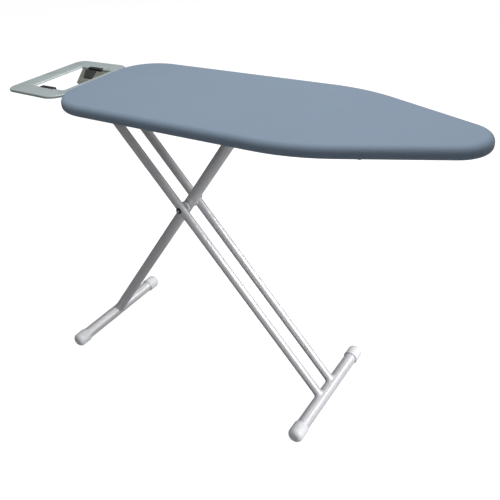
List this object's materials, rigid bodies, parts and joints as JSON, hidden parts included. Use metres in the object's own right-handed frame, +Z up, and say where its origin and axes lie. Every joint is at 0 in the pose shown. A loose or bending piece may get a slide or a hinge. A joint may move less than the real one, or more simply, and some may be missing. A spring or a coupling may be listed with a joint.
{
  "type": "ironing board",
  "caption": "Folding ironing board: padded tapered top, scissor legs with T feet, height rack with release lever, and a sheet metal iron rest at the tail.",
  "frame": {"origin": "on the floor under the middle of the overall length and width", "axes": "+Z up; +X along the board from the tail with its iron rest to the nose; +Y across, to the side with the release lever"},
  "size_m": [1.309, 0.419, 0.8935],
  "materials": {
    "cover_fabric": "smooth blue-grey cotton cover",
    "foam": "pale foam and felt pad",
    "frame_steel": "grey powder coat",
    "leg_paint": "silver-grey powder coat",
    "rest_steel": "satin pressed steel",
    "zinc_plate": "zinc plated",
    "pale_plastic": "moulded, off-white",
    "black_rubber": "matt black"
  },
  "bodies": {
    "board": {"cover": "cover_fabric", "foam_pad": "foam", "top_panel": "frame_steel", "edge_frame": "frame_steel", "tail_rib": "frame_steel", "mid_rib": "frame_steel", "nose_rib": "frame_steel", "near_guide_rail": "frame_steel", "far_guide_rail": "frame_steel", "near_hinge_bracket": "frame_steel", "far_hinge_bracket": "frame_steel", "hinge_rod": "zinc_plate", "near_rack_bracket": "frame_steel", "far_rack_bracket": "frame_steel", "rack_pin": "zinc_plate", "rack_spring": "zinc_plate", "iron_rest": "rest_steel", "near_rest_arm": "rest_steel", "far_rest_arm": "rest_steel", "near_rest_pad": "black_rubber", "far_rest_pad": "black_rubber", "rest_gusset": "rest_steel", "gusset_pad": "black_rubber", "near_rail_rivet_tail": "zinc_plate", "near_rail_rivet_nose": "zinc_plate", "far_rail_rivet_tail": "zinc_plate", "far_rail_rivet_nose": "zinc_plate", "near_hinge_rivet": "zinc_plate", "far_hinge_rivet": "zinc_plate", "near_rack_rivet": "zinc_plate", "far_rack_rivet": "zinc_plate", "near_rest_rivet": "zinc_plate", "far_rest_rivet": "zinc_plate"},
    "leg_a": {"near_twin_tube": "leg_paint", "far_twin_tube": "leg_paint", "hinge_sleeve": "leg_paint", "nose_foot_bar": "leg_paint", "nose_foot_near_cap": "pale_plastic", "nose_foot_far_cap": "pale_plastic", "pivot_bolt": "zinc_plate", "pivot_nut": "zinc_plate"},
    "leg_b": {"single_leg_tube": "leg_paint", "single_leg_plug": "black_rubber", "tail_foot_bar": "leg_paint", "tail_foot_near_cap": "pale_plastic", "tail_foot_far_cap": "pale_plastic", "cross_rod": "zinc_plate", "near_pivot_spacer": "pale_plastic", "far_pivot_spacer": "pale_plastic"},
    "slide_shoes": {"near_slide_shoe": "pale_plastic", "far_slide_shoe": "pale_plastic"},
    "height_release": {"near_rack_bar": "zinc_plate", "far_rack_bar": "zinc_plate", "release_lever": "zinc_plate", "lever_grip": "black_rubber"}
  },
  "joints": [
    {"name": "main_fold", "type": "hinge", "parent": "board", "child": "leg_a", "pos_m": [-0.4044, 0, 0.85], "axis": [0, -1, 0], "range_deg": [0, 46.5]},
    {"name": "leg_crossing", "type": "hinge", "parent": "leg_a", "child": "leg_b", "pos_m": [-0.15831, 0, 0.55578], "axis": [0, 1, 0], "range_deg": [0, 95.52]},
    {"name": "shoe_tilt", "type": "hinge", "parent": "leg_b", "child": "slide_shoes", "pos_m": [0.0651, 0, 0.85], "axis": [0, -1, 0], "range_deg": [0, 49.02]},
    {"name": "release_squeeze", "type": "hinge", "parent": "board", "child": "height_release", "pos_m": [0.39204, 0, 0.8586], "axis": [0, 1, 0], "range_deg": [0, 1.8], "stiffness_Nm_per_rad": 3, "springref_deg": -17.19}
  ],
  "couplings": [
    {"joint": "leg_crossing", "follows": "main_fold", "ratio": 2.0539},
    {"joint": "shoe_tilt", "follows": "main_fold", "ratio": 1.0539}
  ]
}
